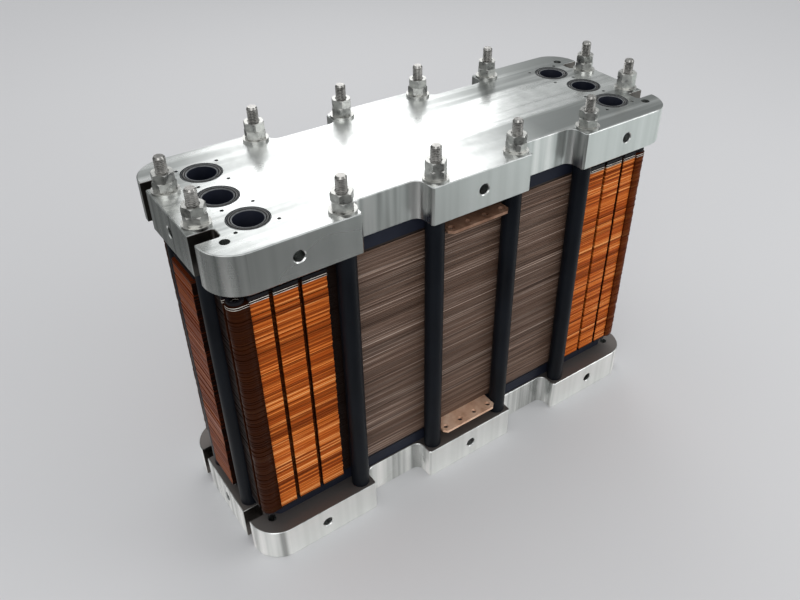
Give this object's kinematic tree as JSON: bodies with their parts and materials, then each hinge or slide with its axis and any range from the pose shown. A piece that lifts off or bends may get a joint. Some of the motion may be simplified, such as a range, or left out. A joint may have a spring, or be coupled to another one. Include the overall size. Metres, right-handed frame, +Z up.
{
  "type": "fuel cell stack",
  "caption": "Clamped stack of thin cells between two thick lugged end plates, with tie rods in sleeves, copper tabs, amber manifold frames and ported top plate.",
  "frame": {"origin": "centre of the bounding box at the underside of the bottom end plate", "axes": "+Z up along the tie rods; +X along the end plates towards the right-hand ports; the copper tabs face -Y"},
  "size_m": [0.5, 0.178, 0.392],
  "materials": {
    "plate_aluminium": "machined, clear anodised, fine milling lines on the edges",
    "insulator_black": "dark moulded sheet, satin",
    "collector_copper": "bare copper sheet, brushed and slightly dulled",
    "cell_graphite": "graphite composite, ground edges",
    "membrane_dark": "thin edge of membrane and gasket",
    "frame_amber": "stacked amber film edges",
    "seal_dark": "dark brown seal sheet",
    "liner_grey": "turned grey liner",
    "o_ring_black": "smooth moulded rubber",
    "rod_steel": "zinc plated, rolled thread",
    "sleeve_black": "satin shrink sleeve",
    "fastener_steel": "zinc plated"
  },
  "bodies": {
    "root": {"top_end_plate": "plate_aluminium", "bottom_end_plate": "plate_aluminium", "top_insulator_plate": "insulator_black", "bottom_insulator_plate": "insulator_black", "top_current_collector": "collector_copper", "bottom_current_collector": "collector_copper", "bipolar_plates": "cell_graphite", "membranes": "membrane_dark", "left_manifold_frames": "frame_amber", "right_manifold_frames": "frame_amber", "left_end_seals": "seal_dark", "right_end_seals": "seal_dark", "port_liners": "liner_grey", "port_o_rings": "o_ring_black", "tie_rods": "rod_steel", "rod_sleeves": "sleeve_black", "rod_washers": "fastener_steel", "clamp_nuts": "fastener_steel", "lock_nuts": "fastener_steel"}
  },
  "joints": []
}
